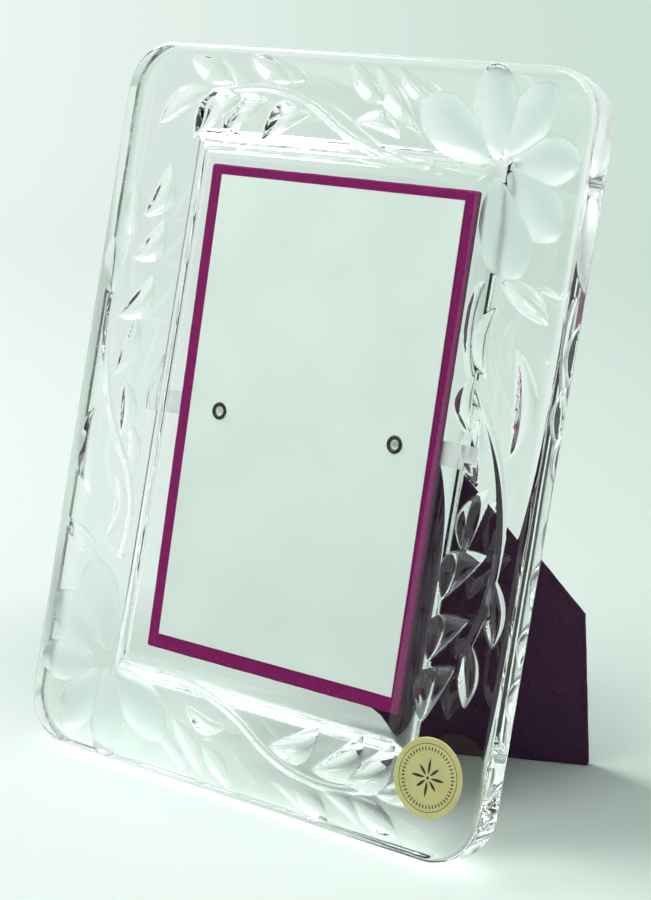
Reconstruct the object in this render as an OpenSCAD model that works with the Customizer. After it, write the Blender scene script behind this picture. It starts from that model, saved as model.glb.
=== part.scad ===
// Cut crystal picture frame, standing on its easel leg
// A thick clear slab with a pocket sunk into its back, a velvet covered backing board that two
// turning clips hold in the pocket, and a velvet covered leg that swings on a slanted hinge.
// Millimetres. +Z is up, the window looks towards -Y, and the object stands on Z = 0.

/* [Crystal slab] */
// Width of the crystal slab
slab_w = 167.5; // [150:0.5:190]
// Height of the crystal slab
slab_h = 222; // [205:1:250]
// Thickness of the crystal slab
slab_t = 12; // [11.8:0.1:15]
// Radius of the slab's four corners
corner_r = 16; // [10:0.5:22]
// Rounding along the slab's front and back edges
edge_r = 2; // [1:0.1:3]
// Angle by which the standing slab leans back
lean = 15.84; // [12:0.01:20]

/* [Photo pocket] */
// Width of the print that the pocket is made for
print_w = 101.6; // [98:0.1:106]
// Height of the print that the pocket is made for
print_h = 152.4; // [148:0.1:158]
// Play round the print on each side
print_play = 0.4; // [0.2:0.1:1]
// Thickness of the clear pane in front of the print
pane_t = 4.5; // [4:0.1:4.6]
// How far each pocket wall opens outwards on its way to the back
wall_flare = 6; // [4:0.1:8]

/* [Cut ornament] */
// Depth of the leaf cuts
leaf_depth = 1.3; // [0.6:0.1:2]
// Width of a leaf cut
leaf_w = 5; // [3:0.1:6]
// Depth of the frosted petal hollows
petal_depth = 2; // [1:0.1:2.5]
// Radius of the wheel edge that cuts the stems
stem_r = 1.2; // [0.9:0.1:2]
// Depth of the stem grooves
stem_depth = 0.7; // [0.4:0.1:0.8]
// Diameter of the gold foil seal
seal_d = 22.5; // [15:0.5:25]
// Thickness of the gold foil seal
seal_t = 0.15; // [0.1:0.05:0.3]

/* [Backing board] */
// Play between the board and each side of the pocket
board_side_play = 2.95; // [2.4:0.05:3.4]
// Play between the board and each end of the pocket
board_end_play = 1.6; // [1.2:0.1:2.4]
// Thickness of the board's card
core_t = 1.5; // [1.3:0.1:1.6]
// Thickness of the velvet
velvet_t = 0.4; // [0.3:0.05:0.4]
// Velvet border beside the liner
side_border = 4.45; // [3:0.05:6]
// Velvet border above and below the liner
end_border = 3.9; // [2:0.1:6]
// Width of the velvet that is glued down under the liner
border_lap = 5; // [4:0.5:6]
// Thickness of the paper liner
liner_t = 0.2; // [0.1:0.05:0.3]
// Height of the liner's middle above the board's middle
liner_rise = 0.8; // [0:0.1:1.4]
// How far the board has slipped to the right in its pocket
board_slip = 1.3; // [0:0.1:1.6]
// Angle by which the leg's load tips the board's foot out of the pocket
board_tilt = 2.08; // [1.5:0.01:2.2]

/* [Turning clips] */
// Distance from each eyelet to the board's nearer side
eyelet_inset = 16; // [14:0.1:18]
// Height of the eyelets above the board's middle
eyelet_rise = 0.9; // [0:0.1:3]
// Outer radius of an eyelet's barrel
barrel_r = 1.5; // [1.3:0.05:1.7]
// Radius of the hole through an eyelet
eyelet_hole_r = 0.95; // [0.6:0.05:1]
// Radius of an eyelet's front rim
rim_r = 2.65; // [2.3:0.05:3]
// Thickness of an eyelet's front rim
rim_t = 0.35; // [0.2:0.05:0.5]
// Radius of an eyelet's rolled end at the back
rolled_r = 2.3; // [2:0.05:2.6]
// Thickness of an eyelet's rolled end
rolled_t = 0.4; // [0.3:0.05:0.5]
// Length of a clip's tip that sits in its slot
clip_grip = 1.2; // [0.8:0.1:2]
// Width of a clip's arm
clip_w = 7; // [5:0.1:8]
// Radius of a clip round its eyelet
clip_eye_r = 5; // [4.2:0.1:6]
// Thickness of a clip
clip_t = 0.8; // [0.5:0.05:0.9]

/* [Hinge] */
// Angle of the hinge line above the horizontal
hinge_angle = 45; // [43:1:47]
// Length of the hinge
hinge_len = 76; // [60:1:78]
// Distance of the hinge's middle to the left of the board's middle
hinge_left = 10.4; // [8:0.1:11]
// Distance of the hinge's middle below the board's middle
hinge_drop = 12.6; // [8:0.1:16]
// Outer radius of the hinge's knuckles
knuckle_r = 1.8; // [1.6:0.05:1.8]
// Radius of the hinge pin
pin_r = 0.9; // [0.7:0.05:1]
// Width of a hinge leaf, from the pin's axis
leaf_reach = 11; // [10:0.5:12]
// Thickness of a hinge leaf
leaf_t = 0.6; // [0.5:0.05:0.7]
// Height of the pin's axis above the board's back
axis_rise = 1.9; // [1.9:0.05:2.1]
// Radius of the rivets' shanks
rivet_r = 1.1; // [0.8:0.05:1.3]
// Radius of the rivets' heads
rivet_head_r = 2.1; // [1.8:0.05:2.4]
// Height of the rivets' heads
rivet_head_t = 0.5; // [0.4:0.05:0.6]
// Thickness of the rivets' flattened tails
rivet_tail_t = 0.2; // [0.15:0.05:0.25]

/* [Easel leg] */
// Angle between the open leg and the board
leg_open = 32.4; // [28:0.1:36]
// Length of each of the leg's two foot edges
foot_len = 52.7; // [40:0.1:58]
// How much steeper the other foot edge is cut, which serves when the frame stands on its side
side_cut = 3.5; // [0:0.1:5]
// Width of the leg at its hinge
root_w = 91.5; // [86:0.5:94]
// Thickness of the leg's card
leg_core_t = 1.8; // [1.5:0.1:3]
// Distance from the pin's axis to the leg's upper edge
root_gap = 2.6; // [2.4:0.1:4]

/* [Hidden] */

// Clearances and overruns
cut_over = 1;
hole_gap = 0.05;
run_gap = 0.05;
seat_gap = 0.05;
pane_gap = 0.25;
slot_play = 0.15;
slot_reach_gap = 0.4;
knuckle_gap = 0.3;
leaf_gap = 0.35;
edge_fn = 32;
round_fn = 64;
fine_fn = 96;

// Ornament: places are shares of half the slab's width and height, for the half of the pattern
// that grows from the flower at the top right. The other half is the same, turned end for end.
// Leaves: foot across, foot up, tip across, tip up, share of the leaf width.
leaf_shares = [
    // Leaves above the top stem
    [-0.490, 0.898, -0.700, 0.954, 1.00], [-0.385, 0.905, -0.535, 0.956, 0.80],
    [-0.240, 0.915, -0.425, 0.966, 1.00], [-0.170, 0.922, -0.295, 0.958, 0.80],
    // Leaf at the top stem's end, and leaves below that stem
    [-0.600, 0.863, -0.813, 0.765, 1.00], [-0.448, 0.860, -0.626, 0.750, 0.95],
    [-0.340, 0.854, -0.478, 0.766, 0.95], [-0.125, 0.824, -0.283, 0.765, 0.95],
    // Fan of leaves beside the flower
    [0.197, 0.880, -0.010, 0.968, 1.10], [0.328, 0.836, 0.120, 0.962, 1.10],
    [0.370, 0.883, 0.206, 0.959, 0.90], [0.263, 0.793, 0.107, 0.815, 0.70],
    // Leaves along the side stem
    [0.838, -0.507, 0.726, -0.665, 1.05], [0.856, -0.395, 0.691, -0.507, 1.05],
    [0.867, -0.229, 0.730, -0.352, 1.05], [0.743, -0.117, 0.677, -0.254, 0.95],
    [0.690, 0.060, 0.655, -0.055, 0.80], [0.891, -0.442, 0.909, -0.568, 0.60],
    [0.745, 0.025, 0.825, -0.078, 0.90], [0.730, 0.385, 0.769, 0.216, 0.95],
    [0.767, 0.432, 0.903, 0.378, 0.90], [0.800, 0.243, 0.910, 0.135, 0.70]];
// Petals: foot across, foot up, tip across, tip up, width as a share of half the slab's width.
petal_shares = [
    [0.580, 0.765, 0.333, 0.893, 0.165], [0.645, 0.790, 0.588, 0.994, 0.155],
    [0.705, 0.790, 0.824, 0.949, 0.155], [0.755, 0.757, 0.967, 0.767, 0.150],
    [0.745, 0.705, 0.931, 0.577, 0.165], [0.675, 0.672, 0.799, 0.461, 0.185]];
// Stems: three points of each arc, across and up.
stem_shares = [
    [[-0.550, 0.868], [-0.334, 0.889], [-0.060, 0.824]], [[-0.060, 0.824], [0.143, 0.752], [0.394, 0.725]],
    [[0.670, 0.441], [0.655, 0.342], [0.716, 0.180]], [[0.716, 0.180], [0.895, -0.100], [0.842, -0.468]]];
// Rings along a cut and facets across it
leaf_rings = 4;
leaf_facets = 2;
petal_rings = 6;
petal_facets = 4;
// Width of a cut at its very tips as a share of its full width, and how blunt its ends are
tip_share = 0.08;
leaf_blunt_share = 1;
petal_blunt_share = 0.7;
// How far along a petal its widest place lies
petal_belly_share = 0.58;
// Middle of the foil seal, as shares of half the slab's width and height
seal_across_share = 0.788;
seal_up_share = -0.79;
// Raised ring of the seal: radius and width as shares of the seal's radius, height of its thickness
seal_ring_share = 0.84;
seal_line_share = 0.06;
seal_raise_share = 0.5;
// Knuckles of the hinge, and where its rivets sit as shares of its length and of the leaf's reach
knuckles = 5;
rivet_along_shares = [-0.33, 0, 0.33];
rivet_across_share = 0.66;
// Bevel ring of the peened pin ends, as a share of the knuckle's radius, and its height
peen_share = 0.75;

// Pocket, and how high the middle of the slab's front face stands
pocket_w = print_w + 2 * print_play;
pocket_h = print_h + 2 * print_play;
pocket_t = slab_t - pane_t;
face_rise = cos(lean) * (slab_h / 2 - edge_r) + sin(lean) * (slab_t - edge_r) + edge_r;

// Board, measured in the slab's frame from the middle of the slab's front face
board_w = pocket_w - 2 * board_side_play;
board_h = pocket_h - 2 * board_end_play;
board_t = core_t + 2 * velvet_t;
board_back = pane_t + pane_gap + sin(board_tilt) * board_h / 2;
board_lean = lean - board_tilt;
core_w = board_w - 2 * velvet_t;
core_h = board_h - 2 * velvet_t;
liner_w = board_w - 2 * side_border;
liner_h = board_h - 2 * end_border;

// Clips, and the slots for them in the pocket's side walls
eyelet_half = board_w / 2 - eyelet_inset;
clip_back = board_back + cos(board_tilt) * (board_t + seat_gap) - sin(board_tilt) * eyelet_rise;
clip_up = sin(board_tilt) * board_t + cos(board_tilt) * eyelet_rise;
wall_half = pocket_w / 2 + wall_flare * (clip_back - pane_t) / pocket_t;
clip_reach = wall_half - eyelet_half + board_slip + clip_grip;
slot_r = clip_reach + board_slip + slot_reach_gap;
slot_front = clip_back - sin(board_tilt) * clip_reach / 2 - slot_play;
slot_rear = clip_back + clip_t + sin(board_tilt) * clip_w / 2 + slot_play;
slot_foot = clip_w / 2 + slot_play;

// Leg: its foot edge is cut so that it lies flat on the ground when the leg is open
leg_t = leg_core_t + 2 * velvet_t;
under_rise = leaf_t / 2;
leg_out = under_rise + leg_t;
hinge_back = board_t + axis_rise;
hinge_far = board_back + cos(board_tilt) * hinge_back + sin(board_tilt) * hinge_drop;
hinge_up = sin(board_tilt) * hinge_back - cos(board_tilt) * hinge_drop;
hinge_height = face_rise - sin(lean) * hinge_far + cos(lean) * hinge_up;
leg_fall = cos(leg_open) * cos(hinge_angle) * cos(board_lean) + sin(leg_open) * sin(board_lean);
leg_lift = sin(leg_open) * cos(hinge_angle) * cos(board_lean) - cos(leg_open) * sin(board_lean);
leg_reach = (hinge_height + under_rise * leg_lift) / leg_fall;
foot_angle = atan2(sin(hinge_angle) * cos(board_lean), leg_fall);
side_foot_angle = foot_angle + side_cut;

// The object's depth runs from the slab's front foot to the leg's tip, with its middle on Y = 0
leg_stride = sin(leg_open) * cos(board_lean) - cos(leg_open) * cos(hinge_angle) * sin(board_lean);
leg_thrust = cos(leg_open) * cos(board_lean) + sin(leg_open) * cos(hinge_angle) * sin(board_lean);
hinge_depth = cos(lean) * hinge_far + sin(lean) * hinge_up;
leg_tip = hinge_depth + leg_reach * leg_stride + leg_out * leg_thrust;
front_foot = cos(lean) * edge_r - sin(lean) * (slab_h / 2 - edge_r) - edge_r;
face_back = -(front_foot + leg_tip) / 2;

// Frames of reference, each with X across, Y towards the back and Z up
module in_slab() translate([0, face_back, face_rise]) rotate([-lean, 0, 0]) children();
module in_board() in_slab() translate([board_slip, board_back, 0]) rotate([board_tilt, 0, 0]) children();
module at_eyelet(side) in_board() translate([side * eyelet_half, 0, eyelet_rise]) children();
// X runs along the hinge, and the folded leg hangs towards -Z
module in_hinge()
    in_board() translate([-hinge_left, hinge_back, -hinge_drop]) rotate([0, -hinge_angle, 0]) children();
module in_leg() in_hinge() rotate([leg_open, 0, 0]) children();
// Here the slab lies flat: X across, Y up the slab, Z out of its front face
module on_face() in_slab() rotate([90, 0, 0]) children();
// A flat outline, drawn across and up, grown towards the back
module plate(from, to) translate([0, to, 0]) rotate([90, 0, 0]) linear_extrude(to - from) children();
// A round bar that runs towards the back
module bar(r, from, to) plate(from, to) circle(r = r, $fn = round_fn);
module box_plate(w, h, from, to) plate(from, to) square([w, h], center = true);

// Crystal slab
// Section of the slab's rim, from a corner's centre out to the edge
module rim_section() {
    translate([0, edge_r]) square([corner_r, slab_t - 2 * edge_r]);
    square([corner_r - edge_r, slab_t]);
    for (level = [edge_r, slab_t - edge_r])
        translate([corner_r - edge_r, level]) circle(r = edge_r, $fn = edge_fn);
}
// One side of the rim, with the corner that follows it
module rim_side(across, along)
    translate([across / 2 - corner_r, along / 2 - corner_r, -slab_t]) {
        rotate_extrude(angle = 90, $fn = fine_fn) rim_section();
        rotate([90, 0, 0]) linear_extrude(along - 2 * corner_r) rim_section();
    }
module slab_blank() {
    translate([-slab_w / 2 + corner_r, -slab_h / 2 + corner_r, -slab_t])
        cube([slab_w - 2 * corner_r, slab_h - 2 * corner_r, slab_t]);
    for (turn = [0, 180]) rotate([0, 0, turn]) rim_side(slab_w, slab_h);
    for (turn = [90, 270]) rotate([0, 0, turn]) rim_side(slab_h, slab_w);
}
// The pocket, with walls that slope outwards to the back
module pocket() {
    over = wall_flare * cut_over / pocket_t;
    ends = [[pocket_w / 2, pocket_h / 2, -pane_t],
            [pocket_w / 2 + wall_flare + over, pocket_h / 2 + wall_flare + over, -slab_t - cut_over]];
    polyhedron(
        points = [for (end = ends) for (corner = [[-1, -1], [1, -1], [1, 1], [-1, 1]])
            [corner[0] * end[0], corner[1] * end[1], end[2]]],
        faces = [[3, 2, 1, 0], [4, 5, 6, 7], [0, 1, 5, 4], [1, 2, 6, 5], [2, 3, 7, 6], [3, 0, 4, 7]]);
}
// Slots in the pocket's side walls, open upwards so that the clips can turn up and out
module clip_slots()
    for (side = [-1, 1]) translate([side * eyelet_half, 0, clip_up]) intersection() {
        bar(slot_r, slot_front, slot_rear);
        translate([-slot_r, slot_front - cut_over, -slot_foot])
            cube([2 * slot_r, slot_rear - slot_front + 2 * cut_over, slot_r + slot_foot]);
    }
// A hollow cut from one place to another, widest where belly says, with rings of facets
module hollow(start, end, width, depth, rings, facets, blunt, belly) {
    run = end - start;
    bend = ln(0.5) / ln(belly);
    sides = facets + 3;
    points = [for (ring = [0 : rings]) let (
            along = (1 - cos(180 * ring / rings)) / 2,
            swell = pow(max(sin(180 * pow(along, bend)), tip_share), blunt),
            half = width / 2 * swell)
        for (corner = [0 : sides - 1])
            corner < 2 ? [along * norm(run), (1 - 2 * corner) * half, cut_over]
                : [along * norm(run), -half * cos(180 * (corner - 2) / facets),
                   -depth * swell * sin(180 * (corner - 2) / facets)]];
    walls = [for (ring = [0 : rings - 1]) for (corner = [0 : sides - 1]) for (half = [0, 1])
        let (a = ring * sides + corner, b = ring * sides + (corner + 1) % sides)
            half == 0 ? [a, a + sides, b + sides] : [a, b + sides, b]];
    ends = [[for (corner = [0 : sides - 1]) corner],
            [for (corner = [sides - 1 : -1 : 0]) rings * sides + corner]];
    translate([start[0], start[1], 0]) rotate([0, 0, atan2(run[1], run[0])])
        polyhedron(points = points, faces = concat(walls, ends));
}
function on_slab(across, up) = [across * slab_w / 2, up * slab_h / 2];
// Centre of the circle through three points
function circle_centre(a, b, c) =
    let (u = b - a, v = c - a, k = 2 * (u[0] * v[1] - u[1] * v[0]), p = u * u, q = v * v)
        a + [v[1] * p - u[1] * q, u[0] * q - v[0] * p] / k;
module stem(arc) {
    a = on_slab(arc[0][0], arc[0][1]);
    b = on_slab(arc[1][0], arc[1][1]);
    c = on_slab(arc[2][0], arc[2][1]);
    middle = circle_centre(a, b, c);
    from = atan2(a[1] - middle[1], a[0] - middle[0]);
    to = atan2(c[1] - middle[1], c[0] - middle[0]);
    sweep = (to - from + 540) % 360 - 180;
    translate([middle[0], middle[1], 0]) rotate([0, 0, sweep > 0 ? from : to])
        rotate_extrude(angle = abs(sweep), $fn = fine_fn)
            translate([norm(a - middle), stem_r - stem_depth]) circle(r = stem_r, $fn = edge_fn);
}
module ornament()
    for (turn = [0, 180]) rotate([0, 0, turn]) {
        for (leaf = leaf_shares)
            hollow(on_slab(leaf[0], leaf[1]), on_slab(leaf[2], leaf[3]), leaf[4] * leaf_w,
                   leaf[4] * leaf_depth, leaf_rings, leaf_facets, leaf_blunt_share, 0.5);
        for (petal = petal_shares)
            hollow(on_slab(petal[0], petal[1]), on_slab(petal[2], petal[3]), petal[4] * slab_w / 2,
                   petal_depth, petal_rings, petal_facets, petal_blunt_share, petal_belly_share);
        for (arc = stem_shares) stem(arc);
    }
module crystal_frame() color("azure", 0.4) {
    difference() {
        on_face() slab_blank();
        on_face() pocket();
        in_slab() clip_slots();
        on_face() ornament();
    }
}

// Gold foil seal on the front face
module foil_seal() color("gold")
    on_face() translate([seal_across_share * slab_w / 2, seal_up_share * slab_h / 2, 0]) {
        cylinder(h = seal_t, r = seal_d / 2, $fn = fine_fn);
        difference() {
            cylinder(h = seal_t * (1 + seal_raise_share),
                     r = seal_d / 2 * (seal_ring_share + seal_line_share / 2), $fn = fine_fn);
            translate([0, 0, -cut_over]) cylinder(h = seal_t + 2 * cut_over,
                     r = seal_d / 2 * (seal_ring_share - seal_line_share / 2), $fn = fine_fn);
        }
    }

// Backing board
// Holes through the board for the two eyelets
module eyelet_holes(from, to)
    for (side = [-1, 1]) at_eyelet(side) bar(barrel_r + hole_gap, from, to);
// Places of the rivets on one hinge leaf, side 1 for the fixed leaf and -1 for the moving one
module at_rivets(side)
    for (share = rivet_along_shares)
        translate([share * hinge_len, 0, side * rivet_across_share * leaf_reach]) children();
module board_rivet_holes(from, to) in_hinge() at_rivets(1) bar(rivet_r + hole_gap, from, to);
module liner_paper() color("honeydew") difference() {
    in_board() translate([0, 0, liner_rise]) box_plate(liner_w, liner_h, -liner_t, 0);
    eyelet_holes(-liner_t - cut_over, cut_over);
}
module board_core() color("tan") difference() {
    in_board() box_plate(core_w, core_h, velvet_t, velvet_t + core_t);
    eyelet_holes(-cut_over, board_t + cut_over);
    board_rivet_holes(-hinge_back, 0);
}
// The velvet covers the board's back and edges, and laps onto the front as a border
module board_velvet() color("purple") difference() {
    in_board() difference() {
        box_plate(board_w, board_h, 0, board_t);
        box_plate(core_w, core_h, velvet_t, velvet_t + core_t);
        translate([0, 0, liner_rise])
            box_plate(liner_w - 2 * border_lap, liner_h - 2 * border_lap, -cut_over, velvet_t);
    }
    eyelet_holes(velvet_t, board_t + cut_over);
    board_rivet_holes(-hinge_back + velvet_t, 0);
}

// Eyelets and turning clips
module eyelet(side) at_eyelet(side) difference() {
    rolled_from = board_t + clip_t + 2 * seat_gap;
    union() {
        bar(rim_r, -liner_t - rim_t, -liner_t);
        bar(barrel_r, -liner_t - rim_t, rolled_from + rolled_t);
        bar(rolled_r, rolled_from, rolled_from + rolled_t);
    }
    bar(eyelet_hole_r, -liner_t - rim_t - cut_over, rolled_from + rolled_t + cut_over);
}
module eyelet_left() color("gainsboro") eyelet(-1);
module eyelet_right() color("gainsboro") eyelet(1);
// Each clip's tip is an arc round its own eyelet
module clip(side) at_eyelet(side)
    plate(board_t + seat_gap, board_t + seat_gap + clip_t) difference() {
        union() {
            circle(r = clip_eye_r, $fn = round_fn);
            intersection() {
                circle(r = clip_reach, $fn = fine_fn);
                translate([side < 0 ? -clip_reach : 0, -clip_w / 2]) square([clip_reach, clip_w]);
            }
        }
        circle(r = barrel_r + run_gap, $fn = round_fn);
    }
module clip_left() color("silver") clip(-1);
module clip_right() color("silver") clip(1);

// Hinge
knuckle_len = hinge_len / knuckles;
// One leaf's knuckles: first is 0 for the fixed leaf and 1 for the moving one
module at_knuckles(first)
    for (place = [first : 2 : knuckles - 1])
        translate([-hinge_len / 2 + place * knuckle_len + knuckle_gap / 2, 0, 0]) children();
module hinge_leaf(side, first, level) {
    clear = knuckle_r + leaf_gap;
    tab = knuckle_len - knuckle_gap;
    span = hinge_len - knuckle_gap;
    difference() {
        union() {
            translate([-span / 2, level, side > 0 ? clear : -leaf_reach])
                cube([span, leaf_t, leaf_reach - clear]);
            at_knuckles(first) {
                translate([0, level, side > 0 ? 0 : -leaf_reach / 2]) cube([tab, leaf_t, leaf_reach / 2]);
                rotate([0, 90, 0]) cylinder(h = tab, r = knuckle_r, $fn = round_fn);
            }
        }
        translate([-hinge_len, 0, 0]) rotate([0, 90, 0])
            cylinder(h = 2 * hinge_len, r = pin_r + run_gap, $fn = round_fn);
        at_rivets(side) bar(rivet_r + hole_gap, level - cut_over, level + leaf_t + cut_over);
    }
}
module hinge_fixed_leaf() color("silver") in_hinge() hinge_leaf(1, 0, -axis_rise);
module hinge_moving_leaf() color("silver") in_leg() hinge_leaf(-1, 1, -leaf_t / 2);
// The pin's ends are peened over against the outer knuckles
module hinge_pin() color("gray") in_hinge() rotate([0, 90, 0]) {
    half = (hinge_len - knuckle_gap) / 2;
    translate([0, 0, -half - leaf_gap]) cylinder(h = 2 * (half + leaf_gap), r = pin_r, $fn = round_fn);
    for (start = [-half - leaf_gap, half])
        translate([0, 0, start]) cylinder(h = leaf_gap, r = peen_share * knuckle_r, $fn = round_fn);
}
// Heads on the leaf, shanks through the card, tails flattened on its far side
module board_rivets() color("silver") in_hinge() at_rivets(1) {
    leaf_face = -axis_rise + leaf_t;
    card_face = -axis_rise - velvet_t - core_t;
    bar(rivet_head_r, leaf_face, leaf_face + rivet_head_t);
    bar(rivet_r, card_face - rivet_tail_t, leaf_face + rivet_head_t);
    bar(rivet_head_r, card_face - rivet_tail_t, card_face);
}
module leg_rivets() color("silver") in_leg() at_rivets(-1) {
    bar(rivet_head_r, -under_rise - rivet_head_t, -under_rise);
    bar(rivet_r, -under_rise - rivet_head_t, leg_out + rivet_tail_t);
    bar(rivet_head_r, leg_out, leg_out + rivet_tail_t);
}

// Easel leg: two foot edges, one for each way up, meet at its tip
module leg_outline() polygon([
    [-root_w / 2, -root_gap], [root_w / 2, -root_gap],
    [foot_len * cos(side_foot_angle), foot_len * sin(side_foot_angle) - leg_reach],
    [0, -leg_reach],
    [-foot_len * cos(foot_angle), foot_len * sin(foot_angle) - leg_reach]]);
module leg_rivet_holes() in_leg() at_rivets(-1) bar(rivet_r + hole_gap, 0, leg_out + cut_over);
module leg_core() color("tan") difference() {
    in_leg() plate(under_rise + velvet_t, leg_out - velvet_t) offset(delta = -velvet_t) leg_outline();
    leg_rivet_holes();
}
module leg_velvet() color("purple") difference() {
    in_leg() difference() {
        plate(under_rise, leg_out) leg_outline();
        plate(under_rise + velvet_t, leg_out - velvet_t) offset(delta = -velvet_t) leg_outline();
    }
    leg_rivet_holes();
}

crystal_frame();
foil_seal();
liner_paper();
board_core();
board_velvet();
eyelet_left();
eyelet_right();
clip_left();
clip_right();
hinge_fixed_leaf();
hinge_moving_leaf();
hinge_pin();
board_rivets();
leg_rivets();
leg_core();
leg_velvet();
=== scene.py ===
"""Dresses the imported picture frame: cut crystal, velvet, paper, foil and nickel, on a pale studio floor."""
import math

import bmesh
import bpy
import numpy as np
from mathutils import Matrix, Vector
from mathutils.geometry import tessellate_polygon


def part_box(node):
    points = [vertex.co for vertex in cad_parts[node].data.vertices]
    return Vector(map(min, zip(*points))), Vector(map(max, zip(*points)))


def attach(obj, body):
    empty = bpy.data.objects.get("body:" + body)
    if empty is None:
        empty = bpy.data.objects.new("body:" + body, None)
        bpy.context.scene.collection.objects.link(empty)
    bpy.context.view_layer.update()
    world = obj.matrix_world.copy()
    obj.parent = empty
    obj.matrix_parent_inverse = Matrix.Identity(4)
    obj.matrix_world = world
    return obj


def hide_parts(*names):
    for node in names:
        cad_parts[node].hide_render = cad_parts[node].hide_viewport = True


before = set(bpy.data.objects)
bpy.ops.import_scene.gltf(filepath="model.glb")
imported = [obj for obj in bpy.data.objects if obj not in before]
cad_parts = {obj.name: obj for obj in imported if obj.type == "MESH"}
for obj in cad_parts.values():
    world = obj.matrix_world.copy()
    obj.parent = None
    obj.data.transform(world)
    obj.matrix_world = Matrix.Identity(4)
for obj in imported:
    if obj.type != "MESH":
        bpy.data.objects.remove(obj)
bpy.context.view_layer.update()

MM = 0.001

# Sizes, as in the part (mm, degrees)
SLAB_W, SLAB_H, SLAB_T = 167.5, 222.0, 12.0
CORNER_R, EDGE_R = 16.0, 2.0
LEAN, TILT = 15.84, 2.08
PANE_T, PANE_GAP = 4.5, 0.25
BOARD_W, BOARD_H, BOARD_T, BOARD_SLIP = 96.5, 150.0, 2.3, 1.3
VELVET_T, BORDER_LAP = 0.4, 5.0
LINER_W, LINER_H, LINER_RISE = 87.6, 142.2, 0.8
EYELET_X, EYELET_Z, BARREL_R = 32.25, 0.9, 1.5
HINGE_PLACE = (-10.4, 4.2, -12.6)
HINGE_ANGLE, HINGE_LEN, LEG_OPEN = 45.0, 76.0, 32.4
RIVETS_ALONG, RIVET_ACROSS, RIVET_R = (-0.33, 0.0, 0.33), 7.26, 1.1
LEG_FRONT, LEG_BACK = 0.3, 2.9
ROOT_W, ROOT_GAP, LEG_LEN = 91.5, 2.6, 133.41
FOOT_LEN, FOOT_RISE, SIDE_CUT = 52.7, 44.16, 3.5
SEAL_X, SEAL_Z, SEAL_R = 0.788 * SLAB_W / 2, -0.79 * SLAB_H / 2, 11.25

# Front and back of the clip slots, height of their middle, reach, half width, sweep upwards, inner end
SLOT_FRONT, SLOT_BACK = 9.18, 10.93
SLOT_Z, SLOT_REACH, SLOT_HALF, SLOT_SWEEP, SLOT_ROOT = 0.98, 27.4, 3.65, 75, 7.0

# Pocket of the scene's slab: the pane's flat size, its corners' radius and how that grows with the
# way outwards, the coved wall's radius and the mouth's rounding
PANE_W, PANE_H = 95.3, 153.2
PANE_CORNER_R, CORNER_GROWTH = 0.8, 0.1
COVE_R, MOUTH_R = 9.02, 0.4

# Velvet plates: corner and edge radius, width of the cloth turned onto each face, waver of the edge,
# half the hem's width, the hem's depth, and play round the tools that cut the holes
PLATE_CORNER_R, PLATE_EDGE_R, PLATE_TURN, WAVER = 0.9, 0.7, 0.15, 0.03
HEM_HALF, HEM_DEPTH, HOLE_PLAY = 0.22, 0.12, 0.05


def rot(axis, degrees):
    return Matrix.Rotation(math.radians(degrees), 4, axis)


def move(x, y, z):
    return Matrix.Translation((x * MM, y * MM, z * MM))


COS_LEAN, SIN_LEAN = math.cos(math.radians(LEAN)), math.sin(math.radians(LEAN))
FRONT_FOOT = COS_LEAN * EDGE_R - SIN_LEAN * (SLAB_H / 2 - EDGE_R) - EDGE_R
FACE_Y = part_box("crystal_frame")[0][1] / MM - FRONT_FOOT
FACE_Z = COS_LEAN * (SLAB_H / 2 - EDGE_R) + SIN_LEAN * (SLAB_T - EDGE_R) + EDGE_R
BOARD_Y = PANE_T + PANE_GAP + math.sin(math.radians(TILT)) * BOARD_H / 2
IN_SLAB = move(0, FACE_Y, FACE_Z) @ rot("X", -LEAN)
IN_BOARD = IN_SLAB @ move(BOARD_SLIP, BOARD_Y, 0) @ rot("X", TILT)
IN_HINGE = IN_BOARD @ move(*HINGE_PLACE) @ rot("Y", -HINGE_ANGLE)
IN_LEG = IN_HINGE @ rot("X", LEG_OPEN)

# Materials


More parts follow.
